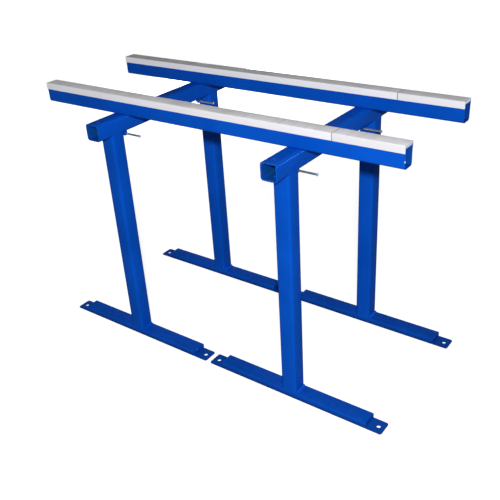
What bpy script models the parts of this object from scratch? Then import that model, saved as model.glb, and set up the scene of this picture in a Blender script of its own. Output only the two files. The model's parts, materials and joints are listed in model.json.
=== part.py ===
"""Work support stand: two capped rails clamped across two cross tubes on four welded T-legs.

Metres, +Z up. The origin is on the floor under the middle of the stand, X runs along the rails
and Y from the front rail to the rear rail.
"""

import math

import bmesh
import bpy
from mathutils import Matrix, Vector

# Overall sizes
WORK_HEIGHT = 0.822
RAIL_LENGTH = 1.228
CROSS_LENGTH = 0.605
CROSS_OVERHANG = 0.074
FOOT_LENGTH = 0.602
FOOT_CLEARANCE = 0.017
RAIL_CLEARANCE = 0.007

# Fits between neighbours
TOUCH_GAP = 0.0003
DRILL_CLEARANCE = 0.0005
BAR_CLEARANCE = 0.0004

# Square tube of the cross tubes and posts
TUBE_SIZE = 0.050
TUBE_RADIUS = 0.008
CROSS_WALL = 0.004
POST_WALL = 0.003

# Folded channel rail and its plastic cap
RAIL_WIDTH = 0.038
RAIL_HEIGHT = 0.055
RAIL_WALL = 0.003
RAIL_BEND = 0.007
CAP_TOP = 0.005
CAP_SIDE = 0.0022
CAP_DEPTH = 0.020
CAP_RADIUS = 0.0025
CAP_TONGUE = 0.003
SHORT_CAP_LENGTH = 0.189
CAP_SEAM = 0.0012

# Foot: a flat base plate with a closed box beam on it
PLATE_THICKNESS = 0.004
PLATE_CORNER = 0.006
TAB_LENGTH = 0.047
ANCHOR_RADIUS = 0.006
ANCHOR_INSET = 0.019
BEAM_HEIGHT = 0.016
BEAM_WALL = 0.002
BEAM_RADIUS = 0.003
END_PLATE = 0.002

# Clamp at each crossing: a screw up through the cross tube into a nut in the rail, and the bar in its head
SCREW_RADIUS = 0.005
TIP_CHAMFER = 0.001
TIP_REACH = 0.0025
HEAD_RADIUS = 0.007
HEAD_LENGTH = 0.020
HEAD_CHAMFER = 0.001
NUT_FLATS = 0.016
NUT_HEIGHT = 0.008
BAR_INSET = 0.0053
BAR_RADIUS = 0.003
BAR_LENGTH = 0.076
BAR_PLAY = 0.0015
COLLAR_RADIUS = 0.0043
COLLAR_LENGTH = 0.004
OUTER_HOLE_INSET = 0.0265

# Facets
ARC_STEPS = 4
FINE_STEPS = 24
SMOOTH_ANGLE = math.radians(35)

# Spacings between middles: the feet of two sides nearly meet, and the rails lie just inside the posts
SIDE_SPACING = FOOT_LENGTH + FOOT_CLEARANCE
POST_SPACING = CROSS_LENGTH - 2 * CROSS_OVERHANG
RAIL_SPACING = POST_SPACING - TUBE_SIZE - 2 * RAIL_CLEARANCE - RAIL_WIDTH

# Levels, from the floor up
BEAM_BOTTOM = PLATE_THICKNESS + TOUCH_GAP
POST_BOTTOM = BEAM_BOTTOM + BEAM_HEIGHT + TOUCH_GAP
RAIL_TOP = WORK_HEIGHT - CAP_TOP - TOUCH_GAP
RAIL_BOTTOM = RAIL_TOP - RAIL_HEIGHT
CROSS_TOP = RAIL_BOTTOM - TOUCH_GAP
CROSS_BOTTOM = CROSS_TOP - TUBE_SIZE
POST_TOP = CROSS_BOTTOM - TOUCH_GAP

# Heights in the clamp, from the cross tube's underside, and the bar's rest, pushed to the right
HEAD_TOP = -TOUCH_GAP
HEAD_BOTTOM = HEAD_TOP - HEAD_LENGTH
BAR_LEVEL = HEAD_BOTTOM + BAR_INSET
NUT_BOTTOM = RAIL_BOTTOM + RAIL_WALL + TOUCH_GAP - CROSS_BOTTOM
SCREW_TIP = NUT_BOTTOM + NUT_HEIGHT + TIP_REACH
BAR_SHORT_REACH = HEAD_RADIUS + BAR_PLAY + COLLAR_LENGTH

AXES = {
    "X": lambda u, v, w: (w, u, v),
    "Y": lambda u, v, w: (u, w, v),
    "Z": lambda u, v, w: (u, v, w),
}


def clear_scene():
    for old in list(bpy.data.objects):
        bpy.data.objects.remove(old, do_unlink=True)


def material(name, colour, roughness, metallic):
    made = bpy.data.materials.new(name)
    made.use_nodes = True
    shader = made.node_tree.nodes["Principled BSDF"]
    shader.inputs["Base Color"].default_value = (*colour, 1.0)
    shader.inputs["Roughness"].default_value = roughness
    shader.inputs["Metallic"].default_value = metallic
    return made


def arc(centre, radius, start, end, steps=ARC_STEPS):
    """Points along an arc, given in degrees, both ends included."""
    angles = [math.radians(start + (end - start) * i / steps) for i in range(steps + 1)]
    return [(centre[0] + radius * math.cos(a), centre[1] + radius * math.sin(a)) for a in angles]


def rounded_rectangle(width, height, radius):
    x = width / 2 - radius
    y = height / 2 - radius
    corners = [((x, y), 0), ((-x, y), 90), ((-x, -y), 180), ((x, -y), 270)]
    return [point for centre, turn in corners for point in arc(centre, radius, turn, turn + 90)]


def circle(centre, radius, steps=FINE_STEPS):
    return arc(centre, radius, 0, 360, steps)[:-1]


def mesh_from(bm, name, finish):
    """Close the edit mesh: outward faces, smooth round sides, one material."""
    bmesh.ops.recalc_face_normals(bm, faces=bm.faces)
    mesh = bpy.data.meshes.new(name)
    bm.to_mesh(mesh)
    bm.free()
    mesh.materials.append(finish)
    mesh.shade_smooth()
    mesh.set_sharp_from_angle(angle=SMOOTH_ANGLE)
    return mesh


def extruded(name, loops, length, axis, finish):
    """A bar of constant section: an outline with any holes, filled and pulled along an axis."""
    bm = bmesh.new()
    edges = []
    for loop in loops:
        points = [bm.verts.new(AXES[axis](u, v, -length / 2)) for u, v in loop]
        edges += [bm.edges.new((a, b)) for a, b in zip(points, points[1:] + points[:1])]
    face = bmesh.ops.triangle_fill(bm, edges=edges, use_beauty=True)["geom"]
    pulled = bmesh.ops.extrude_face_region(bm, geom=face)["geom"]
    moved = [item for item in pulled if isinstance(item, bmesh.types.BMVert)]
    bmesh.ops.translate(bm, verts=moved, vec=Vector(AXES[axis](0, 0, length)))
    return mesh_from(bm, name, finish)


def turned(name, profile, steps, finish, closed=False):
    """A piece turned about Z from (radius, height) points; a closed profile makes a ring."""
    bm = bmesh.new()
    points = [bm.verts.new((radius, 0, height)) for radius, height in profile]
    pairs = list(zip(points, points[1:]))
    if closed:
        pairs.append((points[-1], points[0]))
    edges = [bm.edges.new(pair) for pair in pairs]
    bmesh.ops.spin(bm, geom=points + edges, cent=(0, 0, 0), axis=(0, 0, 1), angle=2 * math.pi,
                   steps=steps, use_merge=True)
    bmesh.ops.remove_doubles(bm, verts=bm.verts, dist=TOUCH_GAP / 10)
    return mesh_from(bm, name, finish)


def tube_loops(width, height, radius, wall):
    inner_radius = max(radius - wall, 0.7 * wall)
    outer = rounded_rectangle(width, height, radius)
    inner = rounded_rectangle(width - 2 * wall, height - 2 * wall, inner_radius)
    return [outer, inner]


def cylinder(radius, length, place, axis):
    """A closed cutting cylinder centred on a point of the piece."""
    bm = bmesh.new()
    turn = {"X": Matrix.Rotation(math.pi / 2, 4, "Y"), "Z": Matrix.Identity(4)}[axis]
    bmesh.ops.create_cone(bm, cap_ends=True, segments=FINE_STEPS, radius1=radius, radius2=radius, depth=length,
                          matrix=Matrix.Translation(place) @ turn)
    mesh = bpy.data.meshes.new("cutter")
    bm.to_mesh(mesh)
    bm.free()
    return mesh


def drilled(mesh, tools):
    """The mesh after cutting each tool from it."""
    name = mesh.name
    finish = mesh.materials[0]
    for tool in tools:
        body = bpy.data.objects.new("body", mesh)
        cutter = bpy.data.objects.new("cutter", tool)
        for item in (body, cutter):
            bpy.context.collection.objects.link(item)
        step = body.modifiers.new("step", "BOOLEAN")
        step.operation = "DIFFERENCE"
        step.solver = "EXACT"
        step.object = cutter
        graph = bpy.context.evaluated_depsgraph_get()
        mesh = bpy.data.meshes.new_from_object(body.evaluated_get(graph))
        for item in (body, cutter):
            bpy.data.objects.remove(item)
    mesh.name = name
    mesh.materials.clear()
    mesh.materials.append(finish)
    mesh.shade_smooth()
    mesh.set_sharp_from_angle(angle=SMOOTH_ANGLE)
    return mesh


def put(name, mesh, parent, place, turn=(0.0, 0.0, 0.0)):
    """One named piece, placed in its parent's frame."""
    piece = bpy.data.objects.new(name, mesh)
    bpy.context.collection.objects.link(piece)
    piece.parent = parent
    piece.location = place
    piece.rotation_euler = turn
    return piece


def group(name, place):
    """An empty that carries the pieces of one unit."""
    empty = bpy.data.objects.new(name, None)
    bpy.context.collection.objects.link(empty)
    empty.location = place
    return empty


def post_mesh(paint):
    """Square tube from the foot beam up to the cross tube."""
    loops = tube_loops(TUBE_SIZE, TUBE_SIZE, TUBE_RADIUS, POST_WALL)
    return extruded("post", loops, POST_TOP - POST_BOTTOM, "Z", paint)


def base_plate_mesh(paint):
    """Flat bar with rounded corners and an anchor hole in each end tab."""
    outline = rounded_rectangle(FOOT_LENGTH, TUBE_SIZE, PLATE_CORNER)
    hole_x = FOOT_LENGTH / 2 - ANCHOR_INSET
    holes = [circle((side * hole_x, 0), ANCHOR_RADIUS) for side in (-1, 1)]
    return extruded("base_plate", [outline] + holes, PLATE_THICKNESS, "Z", paint)


def foot_beam_mesh(paint):
    loops = tube_loops(TUBE_SIZE, BEAM_HEIGHT, BEAM_RADIUS, BEAM_WALL)
    length = FOOT_LENGTH - 2 * (TAB_LENGTH + END_PLATE + TOUCH_GAP)
    return extruded("foot_beam", loops, length, "X", paint)


def foot_end_mesh(paint):
    outline = rounded_rectangle(TUBE_SIZE, BEAM_HEIGHT, BEAM_RADIUS)
    return extruded("foot_end", [outline], END_PLATE, "X", paint)


def screw_mesh(paint):
    """Clamp screw from its cross-drilled head under the tube (z = 0) to its tip above the rail's nut."""
    profile = [
        (0, SCREW_TIP),
        (SCREW_RADIUS - TIP_CHAMFER, SCREW_TIP),
        (SCREW_RADIUS, SCREW_TIP - TIP_CHAMFER),
        (SCREW_RADIUS, HEAD_TOP),
        (HEAD_RADIUS - HEAD_CHAMFER, HEAD_TOP),
        (HEAD_RADIUS, HEAD_TOP - HEAD_CHAMFER),
        (HEAD_RADIUS, HEAD_BOTTOM + HEAD_CHAMFER),
        (HEAD_RADIUS - HEAD_CHAMFER, HEAD_BOTTOM),
        (0, HEAD_BOTTOM),
    ]
    blank = turned("clamp_screw", profile, FINE_STEPS, paint)
    bore = cylinder(BAR_RADIUS + BAR_CLEARANCE, 3 * HEAD_RADIUS, (0, 0, BAR_LEVEL), "X")
    return drilled(blank, [bore])


def nut_mesh(steel):
    """Hexagon nut, welded in the channel over its hole; z = 0 is the nut's middle."""
    outline = arc((0, 0), NUT_FLATS / math.sqrt(3), 0, 360, 6)[:-1]
    bore = circle((0, 0), SCREW_RADIUS + TOUCH_GAP)
    return extruded("rail_nut", [outline, bore], NUT_HEIGHT, "Z", steel)


def bar_mesh(steel):
    """Plain bar along Z with an upset collar at each end; z = 0 is the screw's axis."""
    low = -BAR_SHORT_REACH
    high = low + BAR_LENGTH
    round_off = COLLAR_RADIUS - BAR_RADIUS
    lower_half = [
        (BAR_RADIUS, low + COLLAR_LENGTH),
        (COLLAR_RADIUS, low + COLLAR_LENGTH - round_off),
        (COLLAR_RADIUS, low + round_off),
        (BAR_RADIUS, low),
        (0, low),
    ]
    upper_half = [(radius, low + high - height) for radius, height in reversed(lower_half)]
    return turned("clamp_bar", upper_half + lower_half, FINE_STEPS, steel)


def cross_tube_mesh(paint):
    """Open-ended square tube, drilled through for the rails' screws at an inner and an outer place."""
    loops = tube_loops(TUBE_SIZE, TUBE_SIZE, TUBE_RADIUS, CROSS_WALL)
    tube = extruded("cross_tube", loops, CROSS_LENGTH, "Y", paint)
    places = [RAIL_SPACING / 2, CROSS_LENGTH / 2 - OUTER_HOLE_INSET]
    holes = [cylinder(SCREW_RADIUS + DRILL_CLEARANCE, 2 * TUBE_SIZE, (0, side * y, 0), "Z")
             for y in places for side in (-1, 1)]
    return drilled(tube, holes)


def rail_mesh(paint):
    """Channel folded from sheet, open upwards, with a screw hole over each cross tube."""
    half = RAIL_WIDTH / 2
    low = -RAIL_HEIGHT / 2
    high = RAIL_HEIGHT / 2
    outer_x = half - RAIL_BEND
    inner_bend = RAIL_BEND - RAIL_WALL
    bend_y = low + RAIL_BEND
    outer = arc((-outer_x, bend_y), RAIL_BEND, 180, 270) + arc((outer_x, bend_y), RAIL_BEND, 270, 360)
    inner = arc((outer_x, bend_y), inner_bend, 360, 270) + arc((-outer_x, bend_y), inner_bend, 270, 180)
    outline = ([(-half, high)] + outer + [(half, high), (half - RAIL_WALL, high)] + inner
               + [(RAIL_WALL - half, high)])
    channel = extruded("rail", [outline], RAIL_LENGTH, "X", paint)
    web_middle = low + RAIL_WALL / 2
    hole_x = SIDE_SPACING / 2
    holes = [cylinder(SCREW_RADIUS + DRILL_CLEARANCE, 2 * RAIL_WALL, (side * hole_x, 0, web_middle), "Z")
             for side in (-1, 1)]
    return drilled(channel, holes)


def cap_mesh(name, length, plastic):
    """Inverted U with a tongue that clips over the channel's walls; v = 0 is their top edge."""
    inside = RAIL_WIDTH / 2 + TOUCH_GAP
    outside = inside + CAP_SIDE
    tongue = RAIL_WIDTH / 2 - RAIL_WALL - TOUCH_GAP
    roof = TOUCH_GAP
    top = roof + CAP_TOP
    hem = top - CAP_DEPTH
    round_x = outside - CAP_RADIUS
    round_y = top - CAP_RADIUS
    lip = CAP_SIDE / 3
    outline = ([(outside, hem + lip)] + arc((round_x, round_y), CAP_RADIUS, 0, 90)
               + arc((-round_x, round_y), CAP_RADIUS, 90, 180)
               + [(-outside, hem + lip), (lip - outside, hem), (-inside, hem), (-inside, roof)]
               + [(-tongue, roof), (-tongue, -CAP_TONGUE), (tongue, -CAP_TONGUE), (tongue, roof)]
               + [(inside, roof), (inside, hem), (outside - lip, hem)])
    return extruded(name, [outline], length, "X", plastic)


def build_frame(paint):
    """Four T-legs, and a cross tube over each pair of posts."""
    post = post_mesh(paint)
    plate = base_plate_mesh(paint)
    beam = foot_beam_mesh(paint)
    beam_end = foot_end_mesh(paint)
    cross = cross_tube_mesh(paint)
    beam_level = BEAM_BOTTOM + BEAM_HEIGHT / 2
    end_x = FOOT_LENGTH / 2 - TAB_LENGTH - END_PLATE / 2
    for column, x in (("left", -1), ("right", 1)):
        side = group(f"{column}_side", (x * SIDE_SPACING / 2, 0, 0))
        put(f"{column}_cross_tube", cross, side, (0, 0, CROSS_BOTTOM + TUBE_SIZE / 2))
        for row, y in (("front", -1), ("rear", 1)):
            name = f"{row}_{column}"
            post_y = y * POST_SPACING / 2
            put(f"{name}_post", post, side, (0, post_y, (POST_TOP + POST_BOTTOM) / 2))
            put(f"{name}_base_plate", plate, side, (0, post_y, PLATE_THICKNESS / 2))
            put(f"{name}_foot_beam", beam, side, (0, post_y, beam_level))
            for end, hand in (("left", -1), ("right", 1)):
                put(f"{name}_foot_{end}_end", beam_end, side, (hand * end_x, post_y, beam_level))


def build_rails(paint, plastic):
    """Front and rear rail, each with a long and a short cap."""
    rail = rail_mesh(paint)
    long_length = RAIL_LENGTH - SHORT_CAP_LENGTH - CAP_SEAM
    long_cap = cap_mesh("long_cap", long_length, plastic)
    short_cap = cap_mesh("short_cap", SHORT_CAP_LENGTH, plastic)
    for row, y in (("front", -1), ("rear", 1)):
        unit = group(f"{row}_rail_unit", (0, y * RAIL_SPACING / 2, RAIL_TOP))
        put(f"{row}_rail", rail, unit, (0, 0, -RAIL_HEIGHT / 2))
        put(f"{row}_long_cap", long_cap, unit, ((long_length - RAIL_LENGTH) / 2, 0, 0))
        put(f"{row}_short_cap", short_cap, unit, ((RAIL_LENGTH - SHORT_CAP_LENGTH) / 2, 0, 0))


def build_clamps(paint, steel):
    """A clamp at each of the four crossings; its group stands on the screw's axis."""
    screw = screw_mesh(paint)
    nut = nut_mesh(steel)
    bar = bar_mesh(steel)
    for row, y in (("front", -1), ("rear", 1)):
        for column, x in (("left", -1), ("right", 1)):
            name = f"{row}_{column}"
            clamp = group(f"{name}_clamp", (x * SIDE_SPACING / 2, y * RAIL_SPACING / 2, CROSS_BOTTOM))
            put(f"{name}_clamp_screw", screw, clamp, (0, 0, 0))
            put(f"{name}_rail_nut", nut, clamp, (0, 0, NUT_BOTTOM + NUT_HEIGHT / 2))
            put(f"{name}_clamp_bar", bar, clamp, (0, 0, BAR_LEVEL), (0, math.pi / 2, 0))


def main():
    clear_scene()
    paint = material("blue paint", (0.004, 0.110, 0.520), 0.38, 0.0)
    plastic = material("white plastic", (0.800, 0.800, 0.790), 0.45, 0.0)
    steel = material("zinc plated steel", (0.620, 0.620, 0.600), 0.32, 1.0)
    build_frame(paint)
    build_rails(paint, plastic)
    build_clamps(paint, steel)


main()
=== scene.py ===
"""Looks for the work support stand: enamel, plastic, plated steel, welds and a white studio."""

import json
import math

import bmesh
import bpy
from mathutils import Matrix, Vector

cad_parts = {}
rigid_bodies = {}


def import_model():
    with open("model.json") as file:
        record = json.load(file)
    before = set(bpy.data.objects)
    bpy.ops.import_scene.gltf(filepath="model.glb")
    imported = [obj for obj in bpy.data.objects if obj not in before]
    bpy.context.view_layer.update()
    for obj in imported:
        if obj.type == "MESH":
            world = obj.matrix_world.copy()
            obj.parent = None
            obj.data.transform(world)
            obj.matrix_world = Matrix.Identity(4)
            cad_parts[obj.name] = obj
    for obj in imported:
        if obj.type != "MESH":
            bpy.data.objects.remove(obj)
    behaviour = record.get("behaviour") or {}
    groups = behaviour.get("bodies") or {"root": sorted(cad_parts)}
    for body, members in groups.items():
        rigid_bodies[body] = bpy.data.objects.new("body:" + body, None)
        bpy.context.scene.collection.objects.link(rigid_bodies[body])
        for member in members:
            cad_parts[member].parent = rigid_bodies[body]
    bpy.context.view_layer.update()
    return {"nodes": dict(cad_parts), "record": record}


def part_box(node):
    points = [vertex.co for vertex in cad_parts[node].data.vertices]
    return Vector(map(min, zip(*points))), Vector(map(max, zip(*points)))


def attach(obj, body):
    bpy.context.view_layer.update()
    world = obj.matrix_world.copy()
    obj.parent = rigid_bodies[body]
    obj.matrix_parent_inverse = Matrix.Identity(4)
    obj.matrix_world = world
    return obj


# The photo's camera: place in metres, angles in degrees, lens in pixels of the 500 by 500 picture
PICTURE = 500
CAMERA_PLACE = (1.2364, -1.5957, 1.4041)
CAMERA_AZIMUTH = 38.374
CAMERA_ELEVATION = 29.014
CAMERA_ROLL = -4.056
FOCAL_PIXELS = 707.36
OPTICAL_CENTRE = (242.6, 251.83)
SENSOR_MM = 36.0

# Light: the key stands behind and just above the camera, the fill lights the rear,
# and the edge lamp only draws highlights
AMBIENT = 0.05
KEY_POWER = 68.0
KEY_SIZE = 0.12
KEY_REACH = 1.24
KEY_RISE = 0.14
FILL_POWER = 60.0
FILL_SIZE = 0.9
FILL_PLACE = (-2.2, 2.6, 0.35)
EDGE_POWER = 85.0
EDGE_SIZE = 0.3
EDGE_PLACE = (1.90, 1.68, 0.62)
EDGE_TINT = (0.10, 0.36, 1.0)
STAND_MIDDLE = Vector((0.0, 0.0, 0.48))
WHITE = (1, 1, 1, 1)

# Floor: its size and tone, and the glow that whitens it near the stand and far from it
FLOOR_HALF = 25.0
FLOOR_GRID = 8
FLOOR_DROP = 0.0006
FLOOR_TONE = (0.36, 0.36, 0.36, 1)
FLOOR_LIFT_NEAR = 0.90
FLOOR_LIFT_FAR = 1.0
FLOOR_REACH = (0.9, 2.8)

# Softened edges of the CAD pieces, in metres and radians
MERGE_DISTANCE = 0.00001
SHARP_ANGLE = math.radians(35)
FLAT_ANGLE = math.radians(0.5)
PLATE_EDGE = 0.0006
TUBE_EDGE = 0.0002
TURNED_EDGE = 0.0003
EDGE_SEGMENTS = 2

# Welds, in metres and degrees: ripples of a bead, then the joints at the feet and under the cross tubes
WELD_PITCH = 0.0024
WELD_STEPS = 4
WELD_RIPPLE = 0.10
WELD_ARC = 5
FILLET_TURN = 90
FLUSH_TURN = 180
FOOT_LEG = 0.0055
FLUSH_HALF_HEIGHT = 0.0036
FLUSH_PROUD = 0.0009
FLUSH_DROP = 0.0014
TOP_LEG = 0.0030
TUBE_CORNER = 0.008
FILL_ARC = 6
FILL_TURN = 80
FILL_BITE = 0.0003

# Patches: noise cells per metre and their detail, the noise values where a patch starts and is full,
# and what it goes from and to where that isn't nothing and one
TONE_PATCHES = {"cells": 7.0, "detail": 3.0, "start": 0.35, "full": 0.65}
DUST_PATCHES = {"cells": 55.0, "detail": 4.0, "start": 0.40, "full": 0.80, "most": 0.05}
GLOSS_PATCHES = {"cells": 36.0, "detail": 3.0, "start": 0.3, "full": 0.7, "least": 0.20, "most": 0.32}
CHIP_PATCHES = {"cells": 210.0, "detail": 3.0, "start": 0.60, "full": 0.66}
SCUFF_PATCHES = {"cells": 160.0, "detail": 4.0, "start": 0.52, "full": 0.72, "stretch": (1.0, 0.08, 1.0)}
SMEAR_PATCHES = {"cells": 14.0, "detail": 4.0, "start": 0.42, "full": 0.70}
CLOUD_PATCHES = {"cells": 90.0, "detail": 4.0, "start": 0.35, "full": 0.70}
MARK_PATCHES = {"cells": 260.0, "detail": 5.0, "start": 0.56, "full": 0.70}

# Fine relief: its noise, then the strength and depth of the bump
PEEL = {"cells": 480.0, "detail": 2.0}
PEEL_BUMP = (0.10, 0.0004)
DRAWN_LINES = {"cells": 420.0, "detail": 2.0, "stretch": (0.02, 1.0, 1.0)}
DRAWN_BUMP = (0.12, 0.0002)
TURNING_LINES = {"cells": 900.0, "detail": 1.0, "stretch": (1.0, 0.05, 1.0)}
TURNING_BUMP = (0.15, 0.0002)

# Upward share of a face's normal where it starts to count as level and is fully level
LEVEL_RANGE = (0.6, 0.95)

# Blue paint between its two tones, and how much darker a piece or a foot is painted than the others
ENAMEL_TONES = (Vector((0.0012, 0.076, 0.500)), Vector((0.0020, 0.092, 0.590)))
# On the rear rail the darker paint is painted shade, for the light falling off towards the back
ENAMEL_DARKER_AND_PAINTED_SHADE = {"rear_rail": 0.87, "front_right_foot": 0.90, "rear_right_foot": 0.88}
ENAMEL_SPECULAR = 0.0
COAT_WEIGHT = 0.04
COAT_ROUGHNESS = 0.16
DUST_TONE = (0.16, 0.24, 0.42)
FOOT_PIECES = ("base_plate", "foot_beam", "foot_left_end", "foot_right_end")

# Painted shade on the feet, darker towards the floor: the heights where it starts and is full, its share,
# how much of it the level tabs keep, and its colour
CONTACT_SHADE_HEIGHTS = (0.014, 0.003)
CONTACT_SHADE_SHARE = 0.65
CONTACT_SHADE_ON_TABS = 0.37
CONTACT_SHADE_TONE = (0.006, 0.028, 0.110)

# Bare metal on worn edges, and a knocked bare spot on the front rail's open end
CHIP_TONE = (0.52, 0.54, 0.57)
CHIP_PLACE = (0.614, -0.195, 0.782)
CHIP_RADIUS = 0.0032
CHIP_CORE = 0.7
WORN_RADIUS = 0.0010
WORN_SAMPLES = 6
WORN_RANGE = (0.985, 0.90)

# Open bars with their own directions, and the thin paint and painted shade on their inner walls
OPEN_BARS = {
    "left_cross_tube": Vector((0, 1, 0)),
    "right_cross_tube": Vector((0, 1, 0)),
    "front_rail": Vector((1, 0, 0)),
    "rear_rail": Vector((1, 0, 0)),
}
# The painted shade on the inner walls deepens away from the open ends
INSIDE_PAINT_AND_SHADE_TONES = {"cross_tube": (0.004, 0.055, 0.210), "rail": (0.004, 0.034, 0.150)}
INSIDE_RANGE = (-0.001, -0.004)
INSIDE_FADE = (0.004, 0.050)
INSIDE_MOUTH = 0.62

# White of each cap at its left and right ends, with painted shade for how light falls: the sides, then the
# tops
CAP_WHITES_AND_PAINTED_SHADE = {
    "front_long_cap": ((0.95, 0.82), (0.88, 0.96)),
    "front_short_cap": ((0.72, 0.72), (0.96, 0.96)),
    "rear_long_cap": ((0.92, 0.86), (0.45, 0.82)),
    "rear_short_cap": ((0.80, 0.80), (0.79, 0.79)),
}
CAP_TINT = (1.0, 0.994, 1.035)
CAP_DIRT = 0.18
CAP_ROUGHNESS = (0.42, 0.62)
CAP_SPECULAR = 0.10
DRAWN_RANGE = (0.3, 0.7)
DRAWN_TONES = (0.975, 1.025)
# Painted shade beside the seam between a rail's two caps: its half width and strength
SEAM_HALF = 0.0018
SEAM_PAINTED_SHADE = 0.42

# Zinc plate: dull and bright clouds, and dark handling marks
ZINC_TONES = ((0.20, 0.22, 0.26), (0.29, 0.315, 0.36))
ZINC_MARK_TONE = (0.11, 0.11, 0.11)
ZINC_METALLIC = 0.5
ZINC_ROUGHNESS = (0.26, 0.44)

LEGS = [f"{row}_{column}" for row in ("front", "rear") for column in ("left", "right")]

for leftover in list(bpy.data.objects):
    bpy.data.objects.remove(leftover)
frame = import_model()


# Shader helpers


def connect(tree, node, links):
    """Gives each input a value or another node's output."""
    for key, value in links.items():
        if isinstance(value, bpy.types.NodeSocket):
            tree.links.new(value, node.inputs[key])
        else:
            node.inputs[key].default_value = value


def add_node(tree, kind, links=None, **settings):
    """A new node with its settings and inputs."""
    made = tree.nodes.new(kind)
    for key, value in settings.items():
        setattr(made, key, value)
    connect(tree, made, links or {})
    return made


def new_material(name):
    """A material, its node tree and shader, and the place on the piece in metres."""
    made = bpy.data.materials.new(name)
    made.use_nodes = True
    shader = made.node_tree.nodes["Principled BSDF"]
    place = add_node(made.node_tree, "ShaderNodeTexCoord").outputs["Object"]
    return made, made.node_tree, shader, place


def arithmetic(tree, operation, *values):
    links = dict(enumerate(values))
    return add_node(tree, "ShaderNodeMath", links, operation=operation).outputs[0]


def times(tree, first, second):
    return arithmetic(tree, "MULTIPLY", first, second)


def greatest(tree, first, second):
    return arithmetic(tree, "MAXIMUM", first, second)


def vectors(tree, operation, first, second, output="Vector"):
    """Vector arithmetic; a dot product or a distance comes out as Value."""
    links = {0: first, 1: second}
    return add_node(tree, "ShaderNodeVectorMath", links, operation=operation).outputs[output]


def part_of(tree, vector, axis):
    return add_node(tree, "ShaderNodeSeparateXYZ", {"Vector": vector}).outputs[axis]


def true_normal(tree):
    return add_node(tree, "ShaderNodeNewGeometry").outputs["Normal"]


def ranged(tree, value, low, high, out_low=0.0, out_high=1.0):
    """Goes from out_low to out_high as the value goes from low to high, and stays there beyond."""
    links = {"Value": value, "From Min": low, "From Max": high, "To Min": out_low, "To Max": out_high}
    return add_node(tree, "ShaderNodeMapRange", links).outputs["Result"]


def between(tree, share, out_low, out_high):
    """Goes from out_low to out_high as the share goes from nothing to one."""
    return ranged(tree, share, 0.0, 1.0, out_low, out_high)


def noise(tree, place, cells, detail, stretch=None):
    """Noise at so many cells per metre; stretch scales the place along X, Y and Z first."""
    if stretch:
        links = {"Vector": place, "Scale": stretch}
        place = add_node(tree, "ShaderNodeMapping", links).outputs["Vector"]
    links = {"Vector": place, "Scale": cells, "Detail": detail}
    return add_node(tree, "ShaderNodeTexNoise", links).outputs["Fac"]


def patches(tree, place, cells, detail, start, full, least=0.0, most=1.0, stretch=None):
    """Patches of noise, from least where they start to most where they are full."""
    return ranged(tree, noise(tree, place, cells, detail, stretch), start, full, least, most)


def mixed(tree, share, first, second):
    """Colour mix from first to second."""
    ends = [end if isinstance(end, bpy.types.NodeSocket) else (*end, 1.0) for end in (first, second)]
    links = {0: share, 6: ends[0], 7: ends[1]}
    return add_node(tree, "ShaderNodeMix", links, data_type="RGBA").outputs[2]


def bump(tree, height, strength, distance):
    links = {"Height": height, "Strength": strength, "Distance": distance}
    return add_node(tree, "ShaderNodeBump", links).outputs["Normal"]


def facing_up(tree):
    """One on level upward faces, nothing on upright ones."""
    return ranged(tree, part_of(tree, true_normal(tree), "Z"), *LEVEL_RANGE)


def worn_edges(tree):
    """One along the sharp outer edges, from the angle between the true and the rounded normal."""
    links = {"Radius": WORN_RADIUS}
    rounded = add_node(tree, "ShaderNodeBevel", links, samples=WORN_SAMPLES).outputs["Normal"]
    return ranged(tree, vectors(tree, "DOT_PRODUCT", rounded, true_normal(tree), "Value"), *WORN_RANGE)


# Materials


def inner_paint_and_shade(tree, place, bar):
    """One on an open bar's inner walls, for thin paint and painted shade, fading towards its ends."""
    low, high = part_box(bar)
    along = OPEN_BARS[bar]
    across = Vector((1, 1, 1)) - along
    offset = vectors(tree, "SUBTRACT", place, (low + high) / 2)
    radial = vectors(tree, "MULTIPLY", offset, across)
    inward = vectors(tree, "DOT_PRODUCT", radial, true_normal(tree), "Value")
    far = arithmetic(tree, "ABSOLUTE", vectors(tree, "DOT_PRODUCT", offset, along, "Value"))
    half = along.dot(high - low) / 2
    deep = ranged(tree, far, half - INSIDE_FADE[0], half - INSIDE_FADE[1], INSIDE_MOUTH, 1.0)
    return times(tree, ranged(tree, inward, *INSIDE_RANGE), deep)


def paint_dust_and_painted_shade(tree, place, name):
    """Paint colour: tone changes, darker pieces (painted shade on the rear rail), dust, painted shade near
    the floor.
    """
    # Painted shade: the rear rail's paint is darker for the light falling off towards the back; the right
    # feet are darker
    dark, light = [ENAMEL_DARKER_AND_PAINTED_SHADE.get(name, 1.0) * tone for tone in ENAMEL_TONES]
    tone = mixed(tree, patches(tree, place, **TONE_PATCHES), dark, light)
    level = facing_up(tree)
    dust = times(tree, level, patches(tree, place, **DUST_PATCHES))
    # Painted shade: the paint darkens towards the floor, fully on upright faces and less on the level tabs
    low_down = ranged(tree, part_of(tree, place, "Z"), *CONTACT_SHADE_HEIGHTS, 0.0, CONTACT_SHADE_SHARE)
    contact_shade = times(tree, between(tree, level, 1.0, CONTACT_SHADE_ON_TABS), low_down)
    return mixed(tree, contact_shade, mixed(tree, dust, tone, DUST_TONE), CONTACT_SHADE_TONE)


def chips(tree, place):
    """One where the paint is gone: specks along the edges, and the knocked spot."""
    specks = times(tree, worn_edges(tree), patches(tree, place, **CHIP_PATCHES))
    away = vectors(tree, "DISTANCE", place, CHIP_PLACE, "Value")
    return greatest(tree, specks, ranged(tree, away, CHIP_RADIUS, CHIP_RADIUS * CHIP_CORE))


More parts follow.
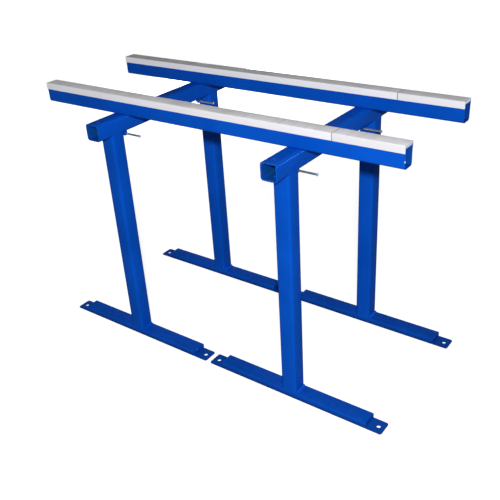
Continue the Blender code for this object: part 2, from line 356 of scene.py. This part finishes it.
def enamel(name, chipped=True):
    """Blue enamel: orange peel, tone and gloss changes, dust, painted shade, chipped edges; thin paint on
    inner walls.
    """
    made, tree, shader, place = new_material(f"{name}_enamel")
    paint = paint_dust_and_painted_shade(tree, place, name)
    if name in OPEN_BARS:
        kind = name.split("_", 1)[1]
        # Thin paint and painted shade on the inner walls, the shade deepening away from the open ends
        paint = mixed(tree, inner_paint_and_shade(tree, place, name), paint, INSIDE_PAINT_AND_SHADE_TONES[kind])
    if chipped:
        bare = chips(tree, place)
        paint = mixed(tree, bare, paint, CHIP_TONE)
        connect(tree, shader, {"Metallic": bare})
    connect(tree, shader, {
        "Base Color": paint,
        "Roughness": patches(tree, place, **GLOSS_PATCHES),
        "Specular IOR Level": ENAMEL_SPECULAR,
        "Coat Weight": COAT_WEIGHT,
        "Coat Roughness": COAT_ROUGHNESS,
        "Normal": bump(tree, noise(tree, place, **PEEL), *PEEL_BUMP),
    })
    return made


def seam_painted_shade(tree, along, cap):
    """Painted shade right beside the seam between the rail's two caps."""
    row = cap.split("_")[0]
    seam = (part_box(f"{row}_long_cap")[1].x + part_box(f"{row}_short_cap")[0].x) / 2
    beside = arithmetic(tree, "ABSOLUTE", arithmetic(tree, "SUBTRACT", along, seam))
    return ranged(tree, beside, SEAM_HALF, SEAM_HALF / 2, 0.0, SEAM_PAINTED_SHADE)


def plastic(cap):
    """White PVC: drawn lines along the length, tops scuffed and smeared; painted shade on sides, tops and
    seam.
    """
    made, tree, shader, place = new_material(f"{cap}_pvc")
    low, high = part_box(cap)
    along = part_of(tree, place, "X")
    top = facing_up(tree)
    # Painted shade: sides and tops get their own white, graded from one end of the cap to the other
    side_white_and_painted_shade, top_white_and_painted_shade = [ranged(tree, along, low.x, high.x, *tones) for tones in CAP_WHITES_AND_PAINTED_SHADE[cap]]
    tone = add_node(tree, "ShaderNodeMix", {0: top, 2: side_white_and_painted_shade, 3: top_white_and_painted_shade}).outputs[0]
    drawn = noise(tree, place, **DRAWN_LINES)
    scuffs = patches(tree, place, **SCUFF_PATCHES)
    smears = patches(tree, place, **SMEAR_PATCHES)
    dirt = times(tree, top, between(tree, greatest(tree, scuffs, smears), 0.0, CAP_DIRT))
    # Painted shade beside the seam darkens the cap along with the dirt
    clean = between(tree, greatest(tree, dirt, seam_painted_shade(tree, along, cap)), 1.0, 0.0)
    shade = times(tree, times(tree, tone, ranged(tree, drawn, *DRAWN_RANGE, *DRAWN_TONES)), clean)
    white = add_node(tree, "ShaderNodeVectorMath", {0: CAP_TINT, "Scale": shade}, operation="SCALE")
    connect(tree, shader, {
        "Base Color": white.outputs[0],
        "Roughness": between(tree, scuffs, *CAP_ROUGHNESS),
        "Specular IOR Level": CAP_SPECULAR,
        "Normal": bump(tree, drawn, *DRAWN_BUMP),
    })
    return made


def plated():
    """Dull zinc plating: cloudy gloss, turning lines and dark handling marks."""
    made, tree, shader, place = new_material("zinc_plate")
    clouds = patches(tree, place, **CLOUD_PATCHES)
    marks = times(tree, patches(tree, place, **MARK_PATCHES), clouds)
    connect(tree, shader, {
        "Base Color": mixed(tree, marks, mixed(tree, clouds, *ZINC_TONES), ZINC_MARK_TONE),
        "Metallic": ZINC_METALLIC,
        "Roughness": between(tree, clouds, *ZINC_ROUGHNESS),
        "Normal": bump(tree, noise(tree, place, **TURNING_LINES), *TURNING_BUMP),
    })
    return made


def all_finishes():
    """Finishes by slot or, where a node has its own, by node; posts and welds share one without chips."""
    welded = enamel("welded", chipped=False)
    made = {"blue_paint": enamel("blue"), "zinc_steel": plated(), "welded": welded}
    for cap in CAP_WHITES_AND_PAINTED_SHADE:
        made[cap] = plastic(cap)
    for bar in OPEN_BARS:
        made[bar] = enamel(bar)
    for leg in LEGS:
        made[f"{leg}_post"] = welded
        if f"{leg}_foot" in ENAMEL_DARKER_AND_PAINTED_SHADE:
            darker = enamel(f"{leg}_foot")
            made.update({f"{leg}_{piece}": darker for piece in FOOT_PIECES})
    return made


FINISHES = all_finishes()


# CAD pieces: smooth facets, softened edges and finishes


def smooth_facets():
    """A modifier tree that joins the facets and shades them smooth between sharp edges."""
    tree = bpy.data.node_groups.new("smooth_facets", "GeometryNodeTree")
    for way in ("INPUT", "OUTPUT"):
        tree.interface.new_socket("Geometry", in_out=way, socket_type="NodeSocketGeometry")
    start = tree.nodes.new("NodeGroupInput").outputs[0]
    links = {"Geometry": start, "Name": "custom_normal"}
    plain = add_node(tree, "GeometryNodeRemoveAttribute", links).outputs[0]
    links = {"Geometry": plain, "Distance": MERGE_DISTANCE}
    joined = add_node(tree, "GeometryNodeMergeByDistance", links).outputs[0]
    links = {"Geometry": joined, "Shade Smooth": True}
    smooth = add_node(tree, "GeometryNodeSetShadeSmooth", links).outputs[0]
    angle = add_node(tree, "GeometryNodeInputMeshEdgeAngle").outputs["Unsigned Angle"]
    links = {0: angle, 1: SHARP_ANGLE}
    sharp = add_node(tree, "FunctionNodeCompare", links, operation="GREATER_THAN").outputs[0]
    links = {"Geometry": smooth, "Selection": sharp, "Shade Smooth": False}
    creased = add_node(tree, "GeometryNodeSetShadeSmooth", links, domain="EDGE").outputs[0]
    tree.links.new(creased, tree.nodes.new("NodeGroupOutput").inputs[0])
    return tree


def edge_width(node):
    """Tubes keep crisp cut ends, so that welded joints barely show."""
    if node.endswith(("_post", "_tube")):
        return TUBE_EDGE
    return TURNED_EDGE if "_clamp_" in node else PLATE_EDGE


def dress(node, slot, facets):
    """The node's own finish or its slot's, with its edges a little rounded."""
    piece = frame["nodes"][node]
    piece.material_slots[0].material = FINISHES[node if node in FINISHES else slot]
    joined = piece.modifiers.new("facets", "NODES")
    joined.node_group = facets
    flat = piece.modifiers.new("flats", "DECIMATE")
    flat.decimate_type = "DISSOLVE"
    flat.angle_limit = FLAT_ANGLE
    edge = piece.modifiers.new("edges", "BEVEL")
    edge.width = edge_width(node)
    edge.segments = EDGE_SEGMENTS
    edge.limit_method = "ANGLE"
    edge.angle_limit = SHARP_ANGLE
    edge.harden_normals = True


# Welds


def weld_piece(name, bm):
    """A painted weld that rides on the stand."""
    bmesh.ops.recalc_face_normals(bm, faces=bm.faces)
    mesh = bpy.data.meshes.new(name)
    bm.to_mesh(mesh)
    bm.free()
    mesh.shade_smooth()
    mesh.set_sharp_from_angle(angle=SHARP_ANGLE)
    mesh.materials.append(FINISHES["welded"])
    piece = bpy.data.objects.new(name, mesh)
    bpy.context.scene.collection.objects.link(piece)
    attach(piece, "stand")


def sweep(bm, sections):
    """Joins equal sections into one skin with flat ends."""
    rings = [[bm.verts.new(point) for point in section] for section in sections]
    for first, second in zip(rings, rings[1:]):
        for i in range(len(first)):
            j = (i + 1) % len(first)
            bm.faces.new((first[i], first[j], second[j], second[i]))
    bm.faces.new(rings[0])
    bm.faces.new(rings[-1])


def bead(bm, stations, turn):
    """A rippled bead: each station has a corner and its two legs, and its section turns between them."""
    sections = []
    for index, (corner, first, second) in enumerate(stations):
        size = 1.0 + WELD_RIPPLE * math.cos(2 * math.pi * index / WELD_STEPS)
        angles = [math.radians(turn * k / WELD_ARC) for k in range(WELD_ARC + 1)]
        rim = [corner + size * (math.cos(a) * first + math.sin(a) * second) for a in angles]
        sections.append([corner] + rim)
    sweep(bm, sections)


def line_stations(start, end, first, second):
    """Stations every quarter ripple along a straight joint."""
    count = WELD_STEPS * max(1, round((end - start).length / WELD_PITCH))
    return [(start.lerp(end, i / count), first, second) for i in range(count + 1)]


def foot_welds(leg):
    """Fillets on the post's two sides and flush beads on its front and back, on top of the foot beam."""
    low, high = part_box(f"{leg}_post")
    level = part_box(f"{leg}_foot_beam")[1].z
    up = Vector((0, 0, 1))
    bm = bmesh.new()
    inset = TUBE_CORNER / 2
    for x, out in ((low.x, Vector((-1, 0, 0))), (high.x, Vector((1, 0, 0)))):
        start = Vector((x, low.y + inset, level))
        end = Vector((x, high.y - inset, level))
        bead(bm, line_stations(start, end, FOOT_LEG * out, FOOT_LEG * up), FILLET_TURN)
    for y, out in ((low.y, Vector((0, -1, 0))), (high.y, Vector((0, 1, 0)))):
        start = Vector((low.x + inset, y, level - FLUSH_DROP)) - FLUSH_PROUD * out
        end = Vector((high.x - inset, y, level - FLUSH_DROP)) - FLUSH_PROUD * out
        bead(bm, line_stations(start, end, FLUSH_HALF_HEIGHT * up, 2 * FLUSH_PROUD * out), FLUSH_TURN)
    weld_piece(f"{leg}_foot_welds", bm)


def fill_section(x, y, low, level, centre_x, side):
    """Section of the weld that fills the groove beside the cross tube's round corner."""
    centre = Vector((centre_x, level + TUBE_CORNER))
    edge = Vector((side * (x - centre_x), low - FILL_BITE - centre.y))
    reach = TUBE_CORNER - FILL_BITE
    touch = math.atan2(edge.y, edge.x) + math.acos(min(1.0, reach / edge.length))
    angles = [touch + (-math.pi / 2 - touch) * k / FILL_ARC for k in range(FILL_ARC + 1)]
    arc = [reach * Vector((math.cos(a), math.sin(a))) for a in angles]
    points = [edge] + arc + [Vector((0, edge.y))]
    return [Vector((centre_x + side * u, y, centre.y + v)) for u, v in points]


def top_welds(leg):
    """Flush fills on the post's two sides and fillets on its front and back, under the cross tube."""
    low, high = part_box(f"{leg}_post")
    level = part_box(f"{leg.split('_')[1]}_cross_tube")[0].z
    down = Vector((0, 0, -1))
    bm = bmesh.new()
    turns = [math.radians(FILL_TURN * k / FILL_ARC) for k in range(FILL_ARC, -1, -1)]
    near = [(math.cos(t), low.y + TUBE_CORNER * (1 - math.sin(t))) for t in turns]
    far = [(share, low.y + high.y - y) for share, y in reversed(near)]
    for side, face in ((-1, low.x), (1, high.x)):
        centre_x = face - side * TUBE_CORNER
        sections = [fill_section(centre_x + side * TUBE_CORNER * share, y, high.z, level, centre_x, side)
                    for share, y in near + far]
        sweep(bm, sections)
    for y, out in ((low.y, Vector((0, -1, 0))), (high.y, Vector((0, 1, 0)))):
        start = Vector((low.x + TUBE_CORNER, y, high.z))
        end = Vector((high.x - TUBE_CORNER, y, high.z))
        bead(bm, line_stations(start, end, TOP_LEG * out, TOP_LEG * down), FILLET_TURN)
    weld_piece(f"{leg}_top_welds", bm)


# Studio


def background_rays(tree):
    """One for rays that see the background: camera, mirror and glass rays."""
    path = add_node(tree, "ShaderNodeLightPath").outputs
    seen = greatest(tree, path["Is Camera Ray"], path["Is Glossy Ray"])
    return greatest(tree, seen, path["Is Transmission Ray"])


def white_world():
    """White where it is seen, and dim where it lights the stand."""
    world = bpy.data.worlds.new("studio")
    bpy.context.scene.world = world
    world.use_nodes = True
    tree = world.node_tree
    tree.nodes.clear()
    dim = add_node(tree, "ShaderNodeBackground", {"Color": WHITE, "Strength": AMBIENT}).outputs[0]
    white = add_node(tree, "ShaderNodeBackground", {"Color": WHITE, "Strength": 1.0}).outputs[0]
    mix = add_node(tree, "ShaderNodeMixShader", {0: background_rays(tree), 1: dim, 2: white})
    add_node(tree, "ShaderNodeOutputWorld", {"Surface": mix.outputs[0]})


def floor_material():
    """Matte, with a glow that only the background's rays see."""
    made = bpy.data.materials.new("floor")
    made.use_nodes = True
    tree = made.node_tree
    tree.nodes.clear()
    matte = add_node(tree, "ShaderNodeBsdfDiffuse", {"Color": FLOOR_TONE}).outputs[0]
    place = add_node(tree, "ShaderNodeTexCoord").outputs["Object"]
    far = add_node(tree, "ShaderNodeVectorMath", {0: place}, operation="LENGTH").outputs["Value"]
    lift = ranged(tree, far, *FLOOR_REACH, FLOOR_LIFT_NEAR, FLOOR_LIFT_FAR)
    links = {"Color": WHITE, "Strength": times(tree, background_rays(tree), lift)}
    glow = add_node(tree, "ShaderNodeEmission", links).outputs[0]
    both = add_node(tree, "ShaderNodeAddShader", {0: matte, 1: glow}).outputs[0]
    add_node(tree, "ShaderNodeOutputMaterial", {"Surface": both})
    return made


def pale_floor():
    """A pale floor that looks white where no shadow lies on it."""
    bm = bmesh.new()
    bmesh.ops.create_grid(bm, x_segments=FLOOR_GRID, y_segments=FLOOR_GRID, size=FLOOR_HALF)
    mesh = bpy.data.meshes.new("floor")
    bm.to_mesh(mesh)
    bm.free()
    mesh.materials.append(floor_material())
    floor = bpy.data.objects.new("floor", mesh)
    floor.location.z = -FLOOR_DROP
    bpy.context.scene.collection.objects.link(floor)


def direction(azimuth, elevation):
    """From the stand towards a viewer; azimuth 0 stands in front and 90 at the right."""
    a = math.radians(azimuth)
    e = math.radians(elevation)
    return Vector((math.sin(a) * math.cos(e), -math.cos(a) * math.cos(e), math.sin(e)))


def soft_light(name, place, size, power, tint=(1, 1, 1), gloss_only=False):
    """A round lamp that faces the stand; a gloss-only one draws highlights and lights nothing."""
    lamp = bpy.data.lights.new(name, "AREA")
    lamp.color = tint
    lamp.shape = "DISK"
    lamp.size = size
    lamp.energy = power
    made = bpy.data.objects.new(name, lamp)
    made.location = place
    made.rotation_euler = (STAND_MIDDLE - Vector(place)).to_track_quat("-Z", "Y").to_euler()
    made.visible_diffuse = not gloss_only
    bpy.context.scene.collection.objects.link(made)


def photo_camera():
    """The camera that the photo's edges fit."""
    back = direction(CAMERA_AZIMUTH, CAMERA_ELEVATION)
    right = Vector((0, 0, 1)).cross(back).normalized()
    up = back.cross(right)
    roll = math.radians(CAMERA_ROLL)
    rolled_right = math.cos(roll) * right + math.sin(roll) * up
    rolled_up = back.cross(rolled_right)
    lens = bpy.data.cameras.new("camera")
    lens.sensor_width = SENSOR_MM
    lens.lens = FOCAL_PIXELS * SENSOR_MM / PICTURE
    lens.shift_x = (PICTURE / 2 - OPTICAL_CENTRE[0]) / PICTURE
    lens.shift_y = (OPTICAL_CENTRE[1] - PICTURE / 2) / PICTURE
    camera = bpy.data.objects.new("camera", lens)
    turn = Matrix((rolled_right, rolled_up, back)).transposed().to_4x4()
    camera.matrix_world = Matrix.Translation(CAMERA_PLACE) @ turn
    bpy.context.scene.collection.objects.link(camera)
    bpy.context.scene.camera = camera


def main():
    facets = smooth_facets()
    for entry in frame["record"]["subparts"]:
        dress(entry["node"], entry["material_slot"], facets)
    for leg in LEGS:
        foot_welds(leg)
        top_welds(leg)
    white_world()
    pale_floor()
    key_place = STAND_MIDDLE.lerp(Vector(CAMERA_PLACE), KEY_REACH) + Vector((0, 0, KEY_RISE))
    soft_light("key", key_place, KEY_SIZE, KEY_POWER)
    soft_light("fill", FILL_PLACE, FILL_SIZE, FILL_POWER)
    soft_light("edge", EDGE_PLACE, EDGE_SIZE, EDGE_POWER, EDGE_TINT, gloss_only=True)
    photo_camera()
    bpy.context.scene.view_settings.view_transform = "Standard"


main()
